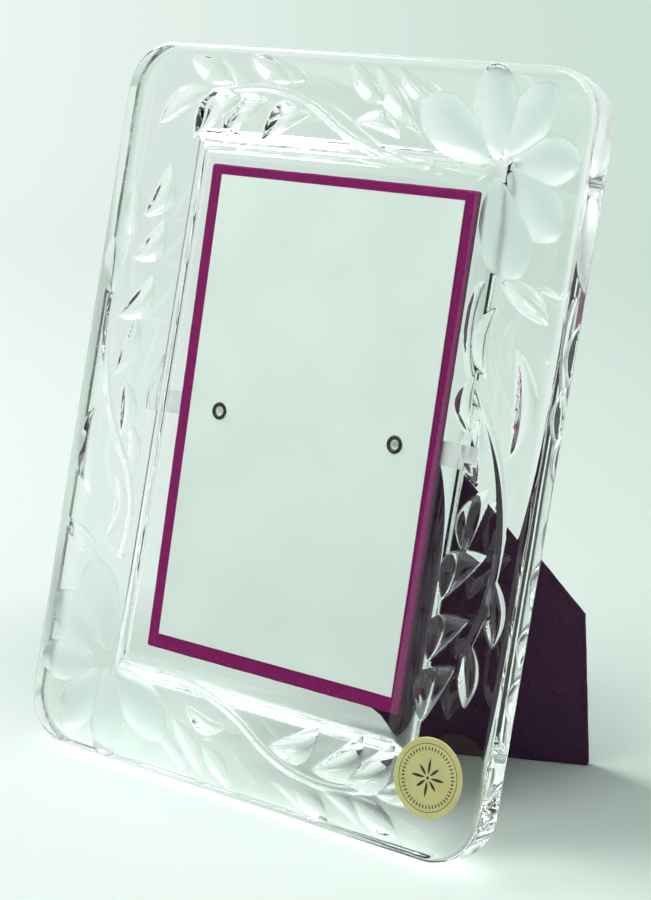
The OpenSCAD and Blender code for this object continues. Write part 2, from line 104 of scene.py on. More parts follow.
class Nodes:
    """Builds one node tree. A keyword names an input or, with an underscore before it, a property."""

    def __init__(self, tree):
        self.tree = tree
        tree.nodes.clear()

    def feed(self, socket, value):
        """Links an output to a socket, or sets the socket's own value."""
        if isinstance(value, bpy.types.NodeSocket):
            self.tree.links.new(value, socket)
        else:
            socket.default_value = value

    def add(self, kind, **inputs):
        node = self.tree.nodes.new("ShaderNode" + kind)
        for key, value in inputs.items():
            if key.startswith("_"):
                setattr(node, key[1:], value)
            else:
                self.feed(node.inputs[key.replace("_", " ")], value)
        return node

    def position(self):
        """Object coordinates in metres, in which every piece keeps its place in the shared frame."""
        return self.add("TexCoord").outputs["Object"]

    def stretch(self, where, scale):
        return self.add("Mapping", Vector=where, Scale=scale).outputs[0]

    def noise(self, where, scale, detail, rough=0.5):
        return self.add("TexNoise", Vector=where, Scale=scale, Detail=detail, Roughness=rough).outputs["Fac"]

    def bump(self, height, strength, distance):
        return self.add("Bump", Height=height, Strength=strength, Distance=distance).outputs[0]

    def math(self, operation, a, b=0.0):
        node = self.add("Math", _operation=operation)
        self.feed(node.inputs[0], a)
        self.feed(node.inputs[1], b)
        return node.outputs[0]

    def contrast(self, fac, low, high):
        """Black below low and white above high."""
        node = self.add("ValToRGB", Fac=fac)
        for element, at in zip(node.color_ramp.elements, (low, high)):
            element.position = at
        return node.outputs["Color"]

    def smooth_range(self, value, low, high):
        """Rises smoothly from 0 at low to 1 at high."""
        return self.add("MapRange", _interpolation_type="SMOOTHSTEP", Value=value,
                        From_Min=low, From_Max=high).outputs[0]

    def mix(self, fac, a, b):
        """A colour between a and b."""
        node = self.add("Mix", _data_type="RGBA")
        for key, value in ((0, fac), (6, a), (7, b)):
            self.feed(node.inputs[key], (*value, 1.0) if isinstance(value, tuple) else value)
        return node.outputs[2]

    def mix_shader(self, fac, a, b):
        node = self.add("MixShader", Fac=fac)
        self.feed(node.inputs[1], a)
        self.feed(node.inputs[2], b)
        return node.outputs[0]

    def looked_at(self):
        """1 where the camera looks, straight, mirrored or through glass, and 0 for stray light."""
        path = self.add("LightPath")
        bent = self.math("MAXIMUM", path.outputs["Is Glossy Ray"], path.outputs["Is Transmission Ray"])
        return self.math("MAXIMUM", path.outputs["Is Camera Ray"], bent)

    def surface(self, shader):
        self.add("OutputMaterial", Surface=shader)

    def principled(self, **inputs):
        self.surface(self.add("BsdfPrincipled", **inputs).outputs[0])


def material(name):
    mat = bpy.data.materials.new(name)
    mat.use_nodes = True
    return mat, Nodes(mat.node_tree)


def dimmed(colour, factor):
    return tuple(factor * c for c in colour)


def crystal(name, roughness, tint):
    """Clear glass, or ground glass where a roughness is given. Lamps shine straight through it."""
    mat, n = material(name)
    where = n.position()
    if roughness:
        normal = n.bump(n.noise(where, 2600.0, 4.0), 0.25, 0.0003)
        cloud = n.math("MULTIPLY", n.noise(where, 90.0, 2.0), 0.12)
        rough = n.math("ADD", cloud, roughness - 0.06)
    else:
        normal = n.bump(n.noise(where, 38.0, 1.0), 0.12, 0.0004)
        rough = 0.0
    glass = n.add("BsdfPrincipled", Base_Color=(*tint, 1), Roughness=rough, IOR=1.55,
                  Transmission_Weight=1.0, Normal=normal).outputs[0]
    clear = n.add("BsdfTransparent", Color=(0.95, 0.97, 0.96, 1)).outputs[0]
    n.surface(n.mix_shader(n.add("LightPath").outputs["Is Shadow Ray"], glass, clear))
    return mat


def velvet(name, deep, lit, sheen, sheen_tint):
    """Short pile with brushed patches and a little lint."""
    mat, n = material(name)
    where = n.position()
    pile = n.noise(where, 1300.0, 5.0, 0.7)
    brushed = n.noise(n.stretch(where, (60, 60, 22)), 1.0, 3.0)
    lint = n.contrast(n.noise(where, 900.0, 2.0), 0.70, 0.78)
    mid = tuple(0.5 * (a + b) for a, b in zip(deep, lit))
    pale = tuple(min(1.0, 2.6 * c + 0.03) for c in lit)
    colour = n.mix(n.contrast(pile, 0.3, 0.7), deep, lit)
    colour = n.mix(n.math("MULTIPLY", brushed, 0.6), colour, mid)
    colour = n.mix(n.math("MULTIPLY", lint, 0.35), colour, pale)
    height = n.math("ADD", pile, n.math("MULTIPLY", brushed, 0.8))
    n.principled(Base_Color=colour, Roughness=0.95, Normal=n.bump(height, 0.6, 0.0004),
                 Sheen_Weight=sheen, Sheen_Roughness=0.35, Sheen_Tint=(*sheen_tint, 1),
                 Specular_IOR_Level=0.15)
    return mat


def paper(name, colour):
    """Faintly clouded paper with a fine fibre."""
    mat, n = material(name)
    where = n.position()
    fibre = n.noise(where, 1500.0, 6.0)
    cloud = n.contrast(n.noise(where, 26.0, 3.0), 0.35, 0.65)
    tone = n.mix(cloud, dimmed(colour, 0.93), colour)
    tone = n.mix(n.math("MULTIPLY", fibre, 0.12), tone, dimmed(colour, 0.8))
    n.principled(Base_Color=tone, Roughness=0.6, Normal=n.bump(fibre, 0.15, 0.0001),
                 Specular_IOR_Level=0.3)
    return mat


def card(name):
    """Layered grey-brown card."""
    mat, n = material(name)
    fibre = n.noise(n.stretch(n.position(), (400, 400, 1800)), 1.0, 5.0)
    tone = n.mix(fibre, (0.26, 0.19, 0.12), (0.42, 0.33, 0.22))
    n.principled(Base_Color=tone, Roughness=0.9, Normal=n.bump(fibre, 0.3, 0.0001))
    return mat


def nickel(name, colour, roughness, metallic=1.0):
    """Plated metal with fine scratches and slight clouding."""
    mat, n = material(name)
    where = n.position()
    scratch = n.noise(n.stretch(where, (300, 300, 4200)), 1.0, 4.0)
    tone = n.mix(n.noise(where, 260.0, 3.0), dimmed(colour, 0.82), colour)
    rough = n.math("ADD", n.math("MULTIPLY", scratch, 0.18), roughness - 0.06)
    n.principled(Base_Color=tone, Metallic=metallic, Roughness=rough,
                 Normal=n.bump(scratch, 0.12, 0.00005))
    return mat


def gold_foil(name):
    """Thin pressed foil, a little clouded."""
    mat, n = material(name)
    where = n.position()
    grain = n.noise(where, 1400.0, 4.0)
    tone = n.mix(n.noise(where, 120.0, 2.0), (0.62, 0.575, 0.23), (0.79, 0.745, 0.35))
    tone = n.mix(n.math("MULTIPLY", grain, 0.25), tone, (0.40, 0.34, 0.12))
    n.principled(Base_Color=tone, Metallic=0.45, Roughness=0.42, Normal=n.bump(grain, 0.1, 0.00005))
    return mat


def ink(name):
    """Black print with a slightly uneven tone."""
    mat, n = material(name)
    tone = n.mix(n.noise(n.position(), 2500.0, 3.0), (0.012, 0.012, 0.010), (0.035, 0.033, 0.025))
    n.principled(Base_Color=tone, Roughness=0.5)
    return mat


CLEAR = crystal("clear_crystal", 0.0, (0.985, 1.0, 0.992))
FROST = crystal("ground_crystal", 0.42, (0.82, 0.90, 0.88))
VELVET_FRONT = velvet("maroon_velvet", (0.110, 0.003, 0.052), (0.262, 0.011, 0.135), 0.06, (0.9, 0.2, 0.6))
# Painted shade: the same maroon velvet, darker and greyer, for the leg and the board's back, which stand in
# shade
VELVET_SHADED = velvet("maroon_velvet_painted_shade", (0.025, 0.009, 0.023), (0.086, 0.032, 0.078), 0.25, (0.50, 0.28, 0.5))
LINER = paper("mint_paper", (0.665, 0.745, 0.700))
CARD = card("grey_card")
NICKEL = nickel("bright_nickel", (0.72, 0.72, 0.70), 0.22)
STEEL = nickel("plated_steel", (0.60, 0.60, 0.59), 0.34)
SPRING = nickel("bright_spring_steel", (0.86, 0.90, 0.88), 0.34, 0.55)
# Near-black metal for the eyelet's rim and rolled end
DARK_RIM_METAL = nickel("near_black_metal", (0.055, 0.06, 0.055), 0.36)
# Painted highlight: near-white, nearly matte metal for the eyelet's funnel, standing in for the bright light
# seen in its hole
FUNNEL_GLINT = nickel("funnel_painted_highlight", (0.97, 0.98, 0.97), 0.40, 0.20)
FOIL = gold_foil("gold_foil")
INK = ink("black_ink")

# Mesh helpers


def mesh_object(name, verts, faces, place, mats, smooth=True, indices=None):
    """A mesh from millimetre points in a local frame, set at its place in the shared frame."""
    points = np.asarray(verts, float) * MM
    m = np.array(place)
    points = points @ m[:3, :3].T + m[:3, 3]
    mesh = bpy.data.meshes.new(name)
    mesh.from_pydata(points.tolist(), [], faces)
    for mat in mats:
        mesh.materials.append(mat)
    mesh.polygons.foreach_set("use_smooth", [smooth] * len(faces))
    if indices is not None:
        mesh.polygons.foreach_set("material_index", indices)
    mesh.update()
    obj = bpy.data.objects.new(name, mesh)
    bpy.context.scene.collection.objects.link(obj)
    return obj


def clean(obj):
    """Merges double points, turns faces outwards and keeps folds above 35 degrees crisp."""
    bm = bmesh.new()
    bm.from_mesh(obj.data)
    bmesh.ops.remove_doubles(bm, verts=bm.verts, dist=1e-7)
    bmesh.ops.recalc_face_normals(bm, faces=bm.faces)
    bm.to_mesh(obj.data)
    bm.free()
    obj.data.set_sharp_from_angle(angle=math.radians(35))


def lathe(name, profile, place, mats, steps, indices):
    """Turns (radius, depth) points about the local Y axis. Each step of the profile has its material."""
    verts, faces, mat_of = [], [], []
    count = len(profile)
    for k in range(steps):
        a = 2 * math.pi * k / steps
        verts += [(r * math.cos(a), d, r * math.sin(a)) for r, d in profile]
    for k in range(steps):
        for j in range(count - 1):
            a, b = k * count + j, (k + 1) % steps * count + j
            faces.append((a, b, b + 1, a + 1))
            mat_of.append(indices[j])
    obj = mesh_object(name, verts, faces, place, mats, True, mat_of)
    clean(obj)
    return obj


def turn_between(a, b):
    """The angle between two unit vectors."""
    return math.acos(max(-1, min(1, a.dot(b))))


def inset(corners, d):
    """A convex outline moved inwards by d."""
    out = []
    n = len(corners)
    for k in range(n):
        p, q, r = (Vector(corners[(k + j) % n]) for j in (-1, 0, 1))
        a, b = (q - p).normalized(), (r - q).normalized()
        mid = Vector((a.y + b.y, -a.x - b.x)).normalized()
        out.append(tuple(q - mid * d / math.cos(turn_between(a, b) / 2)))
    return out


def rounded_outline(corners, radius, pitch=2.5):
    """A convex outline with rounded corners, as (x, z, outward x, outward z) points, anticlockwise."""
    out = []
    n = len(corners)
    for k in range(n):
        p, q, r, s = (Vector(corners[(k + j) % n]) for j in (-1, 0, 1, 2))
        a, b, c = (q - p).normalized(), (r - q).normalized(), (s - r).normalized()
        na, nb = Vector((a.y, -a.x)), Vector((b.y, -b.x))
        turn = turn_between(a, b)
        centre = q - (na + nb).normalized() * radius / math.cos(turn / 2)
        steps = max(2, round(math.degrees(turn) / 15))
        for j in range(steps + 1):
            t = turn * j / steps
            v = na * math.cos(t) + a * math.sin(t)
            out.append((centre.x + radius * v.x, centre.y + radius * v.y, v.x, v.y))
        start = Vector(out[-1][:2])
        stop = r - b * radius * math.tan(turn_between(b, c) / 2)
        count = max(1, round((stop - start).length / pitch))
        for j in range(1, count):
            w = start.lerp(stop, j / count)
            out.append((w.x, w.y, nb.x, nb.y))
    return out


def soft_plate(name, corners, low, high, place, mats, hem=0.0):
    """A plate of cloth-covered card: rounded corners and edges, with a hem sunk along its side."""
    edge = PLATE_EDGE_R
    outline = rounded_outline(corners, PLATE_CORNER_R)
    arc = [math.pi / 2 * k / 5 for k in range(6)]
    mid = (low + high) / 2
    path = [(edge + PLATE_TURN, low)]
    path += [(edge * (1 - math.sin(t)), low + edge * (1 - math.cos(t))) for t in arc]
    if hem:
        path += [(0.0, mid - HEM_HALF), (hem, mid), (0.0, mid + HEM_HALF)]
    path += [(edge * (1 - math.cos(t)), high - edge * (1 - math.sin(t))) for t in arc]
    path.append((edge + PLATE_TURN, high))
    count = len(outline)
    verts, faces, index = [], [], []
    for sunk, depth in path:
        for k, (x, z, ox, oz) in enumerate(outline):
            wave = 0.0
            if sunk < edge:
                wave = WAVER * (2 + math.sin(0.9 * k) + math.sin(2.3 * k + 1.1))
            back = sunk + wave * (1 - sunk / edge)
            verts.append((x - ox * back, depth, z - oz * back))
    for r in range(len(path) - 1):
        for k in range(count):
            j = (k + 1) % count
            faces.append((r * count + k, r * count + j, (r + 1) * count + j, (r + 1) * count + k))
            index.append(0 if path[r + 1][1] < mid else len(mats) - 1)
    faces.append(tuple(reversed(range(count))))
    faces.append(tuple((len(path) - 1) * count + k for k in range(count)))
    index += [0, len(mats) - 1]
    obj = mesh_object(name, verts, faces, place, mats, True, index)
    clean(obj)
    return obj


def block(corners, low, high, place, smooth=False):
    """A straight tool over a flat outline."""
    n = len(corners)
    verts = [(x, low, z) for x, z in corners] + [(x, high, z) for x, z in corners]
    faces = [tuple(range(n)), tuple(n + k for k in reversed(range(n)))]
    faces += [(k, n + k, n + (k + 1) % n, (k + 1) % n) for k in range(n)]
    obj = mesh_object("tool", verts, faces, place, [], smooth)
    clean(obj)
    return obj


def round_tool(x, z, radius, low, high, place):
    turns = [math.pi * k / 16 for k in range(32)]
    circle = [(x + radius * math.cos(a), z + radius * math.sin(a)) for a in turns]
    return block(circle, low, high, place)


def rect(w, h, rise=0.0):
    return [(-w / 2, rise - h / 2), (w / 2, rise - h / 2), (w / 2, rise + h / 2), (-w / 2, rise + h / 2)]


def join(obj, tools, operation, sharp):
    """Cuts the tools out of a piece, or adds them to it, for good."""
    for tool in tools:
        mod = obj.modifiers.new("join", "BOOLEAN")
        mod.operation, mod.solver, mod.object = operation, "EXACT", tool
    done = bpy.data.meshes.new_from_object(obj.evaluated_get(bpy.context.evaluated_depsgraph_get()))
    obj.modifiers.clear()
    obj.data = done
    for tool in tools:
        bpy.data.objects.remove(tool)
    done.set_sharp_from_angle(angle=math.radians(sharp))


def stands_for(obj, node, body):
    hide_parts(node)
    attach(obj, body)


def dress(node, mat, bevel=0.0, segments=3):
    """Gives a CAD node its finish and, where asked, softly rounded edges."""
    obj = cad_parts[node]
    obj.data.materials.clear()
    obj.data.materials.append(mat)
    if bevel:
        mod = obj.modifiers.new("soft_edges", "BEVEL")
        mod.width = bevel * MM
        mod.segments = segments
        mod.limit_method = "ANGLE"
        mod.angle_limit = math.radians(40)
        mod.harden_normals = False


# Cut ornament

# Places are shares of half the slab's width and height for the half that grows from the top right
# flower. The other half is the same, turned end for end. A leaf has one crisp edge, the bow's, and
# rises from it to the belly's edge.
LEAVES = [
    # foot across, foot up, tip across, tip up, bow, belly, depth share
    (-0.490, 0.893, -0.712, 0.958, 0.17, 0.20, 0.55), (-0.375, 0.900, -0.560, 0.962, 0.02, 0.30, 0.50),
    (-0.235, 0.905, -0.432, 0.970, 0.17, 0.20, 0.55), (-0.165, 0.917, -0.308, 0.965, 0.02, 0.30, 0.50),
    (-0.590, 0.870, -0.815, 0.765, 0.04, -0.30, 0.8), (-0.440, 0.862, -0.640, 0.735, 0.02, -0.42, 1.5),
    (-0.325, 0.858, -0.510, 0.735, 0.02, -0.42, 1.5), (-0.130, 0.830, -0.330, 0.745, 0.02, -0.42, 1.5),
    (0.187, 0.870, 0.005, 0.972, 0.10, 0.24, 0.60), (0.315, 0.826, 0.125, 0.965, 0.10, 0.24, 0.60),
    (0.375, 0.885, 0.215, 0.965, 0.05, 0.24, 0.55), (0.263, 0.783, 0.060, 0.815, -0.03, -0.34, 1.5),
    (0.820, -0.506, 0.727, -0.660, 0.02, -0.44, 1.45), (0.841, -0.385, 0.715, -0.505, 0.02, -0.46, 1.45),
    (0.868, -0.218, 0.727, -0.348, 0.02, -0.44, 1.45), (0.845, -0.050, 0.780, -0.235, 0.02, -0.30, 1.45),
    (0.760, 0.400, 0.760, 0.210, -0.10, -0.34, 1.5), (0.715, 0.230, 0.740, 0.060, -0.06, -0.34, 1.5),
    (0.765, 0.120, 0.790, -0.050, 0.02, -0.34, 1.5), (0.905, -0.262, 0.945, -0.440, 0.14, 0.20, 1.2),
    (0.855, -0.430, 0.880, -0.600, 0.14, 0.20, 1.2), (0.745, 0.462, 0.955, 0.365, 0.12, 0.22, 1.1),
    (0.850, 0.300, 0.890, 0.025, -0.02, 0.26, 1.5)]
PETALS = [
    # foot across, foot up, tip across, tip up, width as a share of half the slab's width
    (0.580, 0.765, 0.333, 0.893, 0.172), (0.645, 0.790, 0.588, 0.994, 0.160),
    (0.705, 0.790, 0.824, 0.949, 0.162), (0.755, 0.757, 0.967, 0.767, 0.158),
    (0.745, 0.705, 0.931, 0.577, 0.172), (0.675, 0.672, 0.799, 0.461, 0.195)]
STEMS = [
    # three points of each arc
    ((-0.550, 0.868), (-0.334, 0.889), (-0.060, 0.824)), ((-0.060, 0.824), (0.143, 0.752), (0.394, 0.725)),
    ((0.670, 0.441), (0.655, 0.342), (0.716, 0.180)), ((0.716, 0.180), (0.895, -0.100), (0.842, -0.468))]

# Depth of a leaf's bowl for its half width, and how far its deepest line lies towards the bow's edge
BOWL, KEEL = 0.62, 0.75
# Leaves whose foot lies beyond this share across are cut shallower on the left
SIDE_FROM, LEFT_SHARE = 0.7, 0.5
# Petals: depth (mm), start before the foot, taper of the plan, fullness of the plan and of the bowl
PETAL_DEPTH, PETAL_LEAD, PETAL_TAPER, PETAL_FULL, PETAL_ROUND = 2.0, 0.16, 1.28, 0.55, 0.8
# Stems: radius of the cutting wheel, depth, length beyond the arc's ends and its fade (mm)
STEM_R, STEM_DEPTH, STEM_OVER, STEM_FADE = 1.3, 0.8, 0.8, 1.2
TINY = 1e-4


def along_across(x, z, foot_x, foot_z, tip_x, tip_z):
    """Share of the way from foot to tip, distance across it (mm), and the whole length (mm)."""
    fx, fz = foot_x * SLAB_W / 2, foot_z * SLAB_H / 2
    tx, tz = tip_x * SLAB_W / 2, tip_z * SLAB_H / 2
    length = math.hypot(tx - fx, tz - fz)
    ux, uz = (tx - fx) / length, (tz - fz) / length
    return ((x - fx) * ux + (z - fz) * uz) / length, (z - fz) * ux - (x - fx) * uz, length


def leaf_depth(x, z, leaf):
    along, across, length = along_across(x, z, *leaf[:4])
    bow, belly, share = leaf[4:]
    s = np.clip(along, 0, 1)
    swell = 4 * s * (1 - s)
    # Distance inwards from the bow's edge, and the bowl's width there
    inward = math.copysign(1, belly) * across + bow * length * swell
    width = np.maximum((abs(belly) + bow) * length * swell, TINY)
    q = np.clip(inward / width, 0, 1) ** KEEL
    bowl = 4 * q * (1 - q)
    return np.where((along > 0) & (along < 1) & (inward > 0), BOWL * share * width / 2 * bowl, 0.0)


def petal_depth(x, z, petal):
    along, across = along_across(x, z, *petal[:4])[:2]
    s = np.clip((along + PETAL_LEAD) / (1 + PETAL_LEAD), 0, 1)
    swell = np.sin(np.pi * s ** PETAL_TAPER) ** PETAL_FULL
    half = np.maximum(petal[4] * SLAB_W / 4 * swell, TINY)
    q = np.clip(across / half, -1, 1)
    bowl = np.maximum(1 - q * q, 0) ** PETAL_ROUND
    return np.where((along > -PETAL_LEAD) & (along < 1), PETAL_DEPTH * swell * bowl, 0.0)


def circle_centre(a, b, c):
    u, v = b - a, c - a
    k = 2 * (u[0] * v[1] - u[1] * v[0])
    p, q = u @ u, v @ v
    return a + np.array([v[1] * p - u[1] * q, u[0] * q - v[0] * p]) / k


def stem_depth(x, z, arc):
    a, b, c = (np.array([p[0] * SLAB_W / 2, p[1] * SLAB_H / 2]) for p in arc)
    o = circle_centre(a, b, c)
    off = np.hypot(x - o[0], z - o[1]) - np.linalg.norm(a - o)
    mid, chord = (a + c) / 2, np.linalg.norm(c - a)
    along = ((x - mid[0]) * (c - a)[0] + (z - mid[1]) * (c - a)[1]) / chord
    fade = np.clip((chord / 2 + STEM_OVER - np.abs(along)) / STEM_FADE, 0, 1)
    groove = np.sqrt(np.maximum(STEM_R ** 2 - off ** 2, 0)) - (STEM_R - STEM_DEPTH)
    near = (x - o[0]) * (b - o)[0] + (z - o[1]) * (b - o)[1] > 0
    return np.where(near, np.maximum(groove, 0) * fade, 0.0)


def relief(x, z):
    """Depth of the cuts below the front face, and how much of it is a ground petal."""
    cut, frost = np.zeros_like(x), np.zeros_like(x)
    for turn in (1, -1):
        for leaf in LEAVES:
            share = LEFT_SHARE if turn < 0 and leaf[0] > SIDE_FROM else 1.0
            cut = np.maximum(cut, leaf_depth(turn * x, turn * z, leaf) * share)
        for arc in STEMS:
            cut = np.maximum(cut, stem_depth(turn * x, turn * z, arc))
        for petal in PETALS:
            frost = np.maximum(frost, petal_depth(turn * x, turn * z, petal))
    return np.maximum(cut, frost), frost


# Crystal slab

# Half the window's width and height, where the front is one flat face
WINDOW_X, WINDOW_Z = 49.0, 73.0
# Middle of the edge's rounding, and the radius of the corners there
INNER_X, INNER_Z, INNER_R = SLAB_W / 2 - EDGE_R, SLAB_H / 2 - EDGE_R, CORNER_R - EDGE_R
GRID, QUICK_GRID, GROUND_FROM = 0.42, 0.8, 0.03
COVE_STEPS, MOUTH_STEPS, RIM_STEPS, SLOT_STEPS = 22, 4, 7, 40


class Skin:
    """The slab's points and faces as they are gathered, in mm in the slab's own frame."""

    def __init__(self):
        self.verts = np.zeros((0, 3))
        self.faces, self.mats, self.smooth = [], [], []

    def points(self, points):
        """Adds points and returns their numbers."""
        first = len(self.verts)
        self.verts = np.vstack([self.verts, points])
        return first + np.arange(len(points))

    def add(self, faces, mats=None, smooth=True):
        self.faces += faces
        self.mats += mats or [0] * len(faces)
        self.smooth += [smooth] * len(faces)


def ring(hx, hz, radius, depth, steps=4):
    """A rounded rectangle's points at one depth, anticlockwise from the bottom right corner."""
    points = []
    for k, (sx, sz) in enumerate([(1, -1), (1, 1), (-1, 1), (-1, -1)]):
        cx, cz = sx * (hx - radius), sz * (hz - radius)
        for j in range(steps + 1):
            a = math.radians(-90 + 90 * k + 90 * j / steps)
            points.append((cx + radius * math.cos(a), depth, cz + radius * math.sin(a)))
    return points


def slot_tool(side):
    """The room that a clip's tip sweeps through as it turns upwards."""
    cx = side * EYELET_X
    first, last = math.asin(-SLOT_HALF / SLOT_REACH), math.radians(SLOT_SWEEP)
    turns = [first + (last - first) * j / SLOT_STEPS for j in range(SLOT_STEPS + 1)]
    outline = [(cx + side * SLOT_REACH * math.cos(a), SLOT_Z + SLOT_REACH * math.sin(a)) for a in turns]
    outline.append((cx + side * SLOT_ROOT, SLOT_Z + SLOT_REACH * math.sin(last)))
    outline.append((cx + side * SLOT_ROOT, SLOT_Z - SLOT_HALF))
    return block(outline, SLOT_FRONT, SLOT_BACK, Matrix.Identity(4), True)


def pocket_mesh():
    """The pocket's walls and pane with the clip slots, closed at the mouth, and the mouth's outline."""
    turn = math.acos(1 - (SLAB_T - PANE_T) / COVE_R)
    path = []
    for k in range(MOUTH_STEPS + 1):
        a = math.pi / 2 * k / MOUTH_STEPS
        out = COVE_R * math.sin(turn) + MOUTH_R * (1 - math.sin(a))
        path.append((SLAB_T - MOUTH_R * (1 - math.cos(a)), out))
    # The last steps of the cove give way to the mouth's rounding
    for k in range(COVE_STEPS - 2, -1, -1):
        a = turn * k / COVE_STEPS
        path.append((PANE_T + COVE_R * (1 - math.cos(a)), COVE_R * math.sin(a)))
    rings = []
    for depth, out in path:
        corner = PANE_CORNER_R + CORNER_GROWTH * out
        rings.append(ring(PANE_W / 2 + out, PANE_H / 2 + out, corner, depth))
    count = len(rings[0])
    faces = []
    for k in range(len(rings) - 1):
        for j in range(count):
            i = (j + 1) % count
            faces.append([k * count + j, k * count + i, (k + 1) * count + i, (k + 1) * count + j])
    faces.append(list(range(count)))
    faces.append([(len(rings) - 1) * count + j for j in reversed(range(count))])
    verts = [point for points in rings for point in points]
    tool = mesh_object("pocket_tool", verts, faces, Matrix.Identity(4), [])
    clean(tool)
    join(tool, [slot_tool(side) for side in (-1, 1)], "UNION", 32)
    pocket = tool.data
    bpy.data.objects.remove(tool)
    return pocket, rings[0]


def spaced(breaks, step):
    out = [breaks[0]]
    for a, b in zip(breaks, breaks[1:]):
        n = max(1, round((b - a) / step))
        out += [a + (b - a) * (j + 1) / n for j in range(n)]
    return np.array(out)


def front_grid(step):
    """The front's square grid, and the same points with the corners bent into quarter circles."""
    hx, hz, r = INNER_X, INNER_Z, INNER_R
    xs = spaced([-hx, -hx + r, -WINDOW_X, WINDOW_X, hx - r, hx], step)
    zs = spaced([-hz, -hz + r, -WINDOW_Z, WINDOW_Z, hz - r, hz], step)
    gx, gz = np.meshgrid(xs, zs, indexing="ij")
    ax, az = (np.abs(gx) - (hx - r)) / r, (np.abs(gz) - (hz - r)) / r
    corner = (ax > 0) & (az > 0)
    bx = np.where(corner, ax * np.sqrt(np.maximum(1 - az ** 2 / 2, 0)), ax)
    bz = np.where(corner, az * np.sqrt(np.maximum(1 - ax ** 2 / 2, 0)), az)
    px = np.where(corner, np.sign(gx) * (hx - r + r * bx), gx)
    pz = np.where(corner, np.sign(gz) * (hz - r + r * bz), gz)
    return gx, gz, px, pz


def add_front(skin, gx, gz, px, pz):
    """The cut front, with one flat face at the window. Returns each grid point's number."""
    close = 1e-6
    deep, frost = relief(px, pz)
    index = -np.ones(gx.shape, int)
    keep = (np.abs(gx) >= WINDOW_X - close) | (np.abs(gz) >= WINDOW_Z - close)
    index[keep] = skin.points(np.stack([px[keep], deep[keep], pz[keep]], 1))
    a, b, c, d = index[:-1, :-1], index[1:, :-1], index[1:, 1:], index[:-1, 1:]
    mid_x = np.abs(gx[:-1, :-1] + gx[1:, 1:]) / 2
    mid_z = np.abs(gz[:-1, :-1] + gz[1:, 1:]) / 2
    real = (a >= 0) & (b >= 0) & (c >= 0) & (d >= 0) & ((mid_x >= WINDOW_X) | (mid_z >= WINDOW_Z))
    quads = np.stack([a[real], b[real], c[real], d[real]], 1)
    ground = (frost[:-1, :-1] + frost[1:, 1:])[real] / 2 > GROUND_FROM
    skin.add(quads.tolist(), ground.astype(int).tolist())
    columns = [i for i, x in enumerate(gx[:, 0]) if abs(x) <= WINDOW_X + close]
    rows = [j for j, z in enumerate(gz[0]) if abs(z) <= WINDOW_Z + close]
    loop = [index[i, rows[0]] for i in columns] + [index[columns[-1], j] for j in rows[1:]]
    loop += [index[i, rows[-1]] for i in reversed(columns[:-1])]
    loop += [index[columns[0], j] for j in reversed(rows[1:-1])]
    skin.add([[int(k) for k in loop]], smooth=False)
    return index


def add_rim(skin, index, px, pz):
    """The front rounding, the side and the back rounding. Returns the numbers of the last ring."""
    nx, nz = index.shape
    edge = [(i, 0) for i in range(nx)] + [(nx - 1, j) for j in range(1, nz)]
    edge += [(i, nz - 1) for i in range(nx - 2, -1, -1)] + [(0, j) for j in range(nz - 2, 0, -1)]
    ei, ej = np.array(edge).T
    ex, ez = px[ei, ej], pz[ei, ej]
    # Direction outwards at each point of the edge
    ox = np.sign(ex) * np.maximum(np.abs(ex) - (INNER_X - INNER_R), 0)
    oz = np.sign(ez) * np.maximum(np.abs(ez) - (INNER_Z - INNER_R), 0)
    length = np.maximum(np.hypot(ox, oz), 1e-9)
    ox, oz = ox / length, oz / length
    turns = [math.pi / 2 * k / RIM_STEPS for k in range(RIM_STEPS + 1)]
    path = [(EDGE_R * math.sin(t), EDGE_R * (1 - math.cos(t))) for t in turns[1:]]
    path += [(EDGE_R * math.cos(t), SLAB_T - EDGE_R + EDGE_R * math.sin(t)) for t in turns]
    after = np.roll(np.arange(len(edge)), -1)
    last = index[ei, ej]
    for out, down in path:
        rx, rz = ex + ox * out, ez + oz * out
        level = np.full(len(edge), down)
        if down < EDGE_R + 1e-6:
            level = np.maximum(level, relief(rx, rz)[0])
        here = skin.points(np.stack([rx, level, rz], 1))
        skin.add(np.stack([last, here, here[after], last[after]], 1).tolist())
        last = here
    return last


def add_back(skin, outline, mouth):
    """The back face, from the rim's last ring to the pocket's mouth."""
    outer = [Vector((skin.verts[k][0], skin.verts[k][2], 0)) for k in outline]
    hole = [Vector((x, z, 0)) for x, depth, z in mouth]
    numbers = outline.tolist() + skin.points(np.array(mouth)).tolist()
    triangles = tessellate_polygon([outer, hole])
    skin.add([[numbers[k] for k in triangle] for triangle in triangles], smooth=False)


